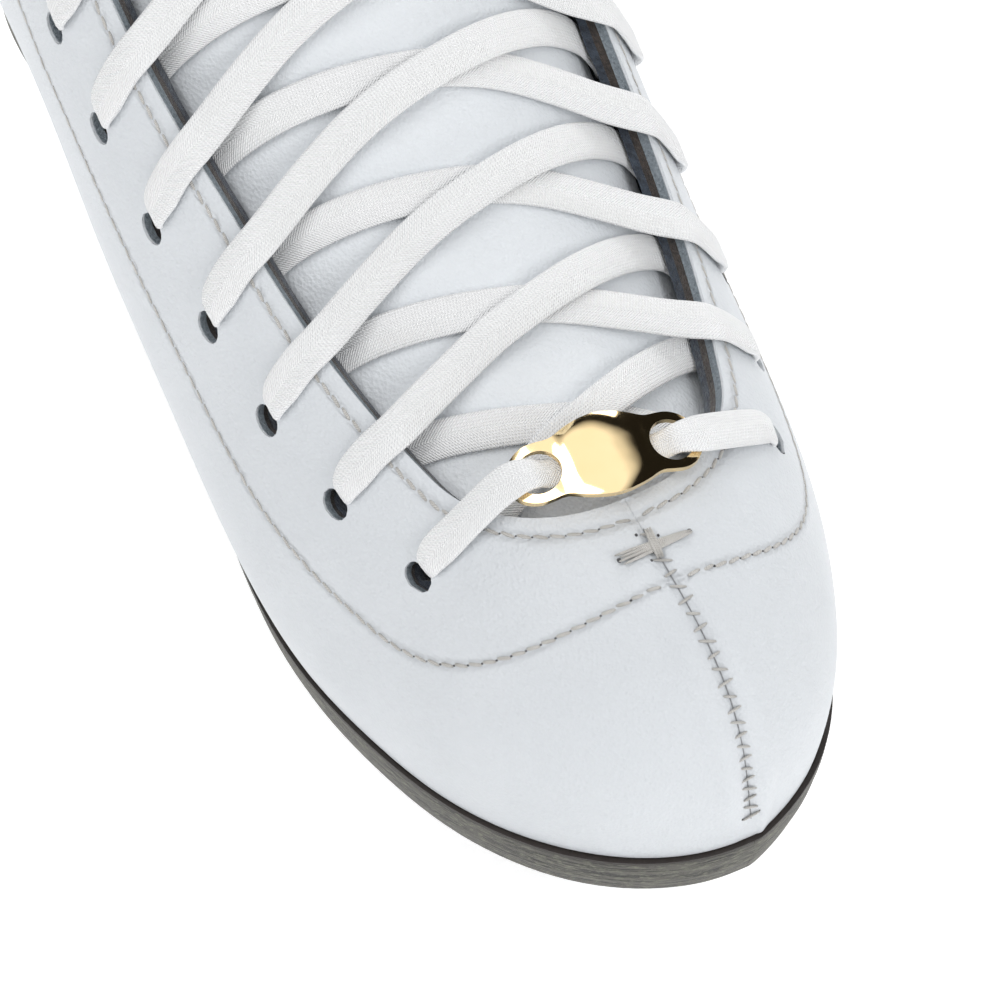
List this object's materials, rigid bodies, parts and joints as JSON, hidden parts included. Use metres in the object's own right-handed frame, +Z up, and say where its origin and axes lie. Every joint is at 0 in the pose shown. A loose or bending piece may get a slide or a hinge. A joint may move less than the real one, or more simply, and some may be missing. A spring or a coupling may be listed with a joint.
{
  "type": "figure skate",
  "caption": "Right-foot laced white leather figure skate with a stacked leather sole and heel, a screwed-on steel blade and a gilt tag threaded on the lace.",
  "frame": {"origin": "on the ice, under the middle of the whole skate's bounding box", "axes": "+Z up; the toe points along -Y; this right-foot skate's medial side, towards the other foot, faces +X"},
  "size_m": [0.1028, 0.269, 0.3007],
  "materials": {
    "white_leather": "fine-grained, satin, white",
    "sole_leather": "stacked layers, dark, rubbed smooth",
    "stiffener": "moulded fibre and leather board, dull",
    "dark_lining": "brushed, nearly black blue",
    "foam": "felted padding, pale",
    "board": "pressed fibre board",
    "cotton": "woven white lace",
    "steel": "polished edges, satin faces",
    "gold": "gold coloured, mirror polished",
    "clear_tip": "clear plastic lace tip"
  },
  "bodies": {
    "skate": {"upper_lateral": "white_leather", "lining_lateral": "dark_lining", "facing_stay_lateral": "stiffener", "lace_loop_lateral": "cotton", "lace_tail_lateral": "cotton", "aglet_lateral": "clear_tip", "hook_lateral_1": "steel", "hook_lateral_2": "steel", "hook_lateral_3": "steel", "hook_lateral_4": "steel", "upper_medial": "white_leather", "lining_medial": "dark_lining", "facing_stay_medial": "stiffener", "lace_loop_medial": "cotton", "lace_tail_medial": "cotton", "aglet_medial": "clear_tip", "hook_medial_1": "steel", "hook_medial_2": "steel", "hook_medial_3": "steel", "hook_medial_4": "steel", "toe_puff": "stiffener", "heel_counter": "stiffener", "backstay": "white_leather", "collar": "white_leather", "tongue": "white_leather", "tongue_pad": "foam", "welt": "sole_leather", "midsole": "sole_leather", "outsole": "sole_leather", "insole_board": "board", "footbed": "foam", "heel_top_piece": "sole_leather", "blade_runner": "steel", "toe_stanchion": "steel", "heel_stanchion": "steel", "sole_plate": "steel", "heel_plate": "steel", "lace": "cotton", "lace_knot": "cotton", "heel_lift_1": "sole_leather", "heel_screw_1": "steel", "heel_lift_2": "sole_leather", "heel_screw_2": "steel", "heel_lift_3": "sole_leather", "heel_screw_3": "steel", "heel_lift_4": "sole_leather", "heel_screw_4": "steel", "sole_screw_1": "steel", "sole_screw_2": "steel", "sole_screw_3": "steel", "sole_screw_4": "steel", "sole_screw_5": "steel", "sole_screw_6": "steel"},
    "tag": {"lace_tag": "gold"}
  },
  "joints": [
    {"name": "lace_tag_slide", "type": "slide", "parent": "skate", "child": "tag", "axis": [0.9891, -0.1426, -0.0374], "range_m": [-0.0005, 0.0005]}
  ]
}
